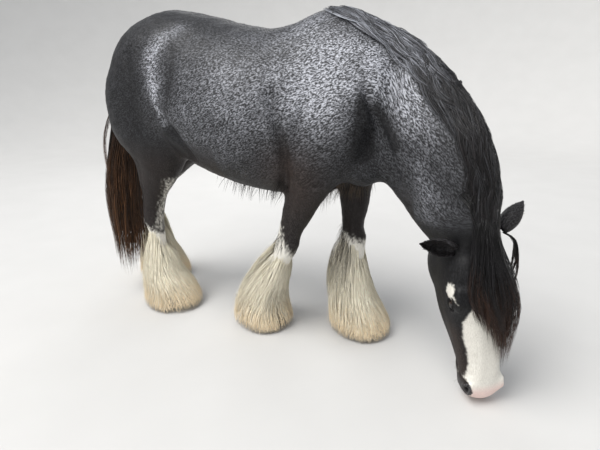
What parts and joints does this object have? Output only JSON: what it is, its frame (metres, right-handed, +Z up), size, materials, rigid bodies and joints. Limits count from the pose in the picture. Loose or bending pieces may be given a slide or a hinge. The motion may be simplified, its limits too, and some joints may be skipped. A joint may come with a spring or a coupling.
{
  "type": "gypsy vanner horse",
  "caption": "Life-size still model of a grazing cob-type horse, black roan with long mane, full tail and white feathered feet, head down at the grass.",
  "frame": {"origin": "on the ground, under the middle of the animal's box", "axes": "+X the way the horse heads, +Y its left side, +Z up; it stands on z = 0"},
  "size_m": [2.2246, 0.6894, 1.473],
  "materials": {
    "roan_coat": "short black hair ticked with white",
    "black_hair": "black hair of head, neck and mane",
    "white_feather": "long cream hair",
    "brown_tail": "long dark brown hair",
    "hoof_horn": "dull horn",
    "eye": "wet dark brown"
  },
  "bodies": {
    "root": {"ear_left": "black_hair", "ear_right": "black_hair", "eye_left": "eye", "eye_right": "eye", "foreleg_left": "roan_coat", "foreleg_left_lower": "white_feather", "foreleg_right": "roan_coat", "foreleg_right_lower": "white_feather", "head": "black_hair", "hindleg_left": "roan_coat", "hindleg_left_lower": "white_feather", "hindleg_right": "roan_coat", "hindleg_right_lower": "white_feather", "hoof_fore_left": "hoof_horn", "hoof_fore_right": "hoof_horn", "hoof_hind_left": "hoof_horn", "hoof_hind_right": "hoof_horn", "neck": "black_hair", "tail": "brown_tail", "torso": "roan_coat"}
  },
  "joints": []
}
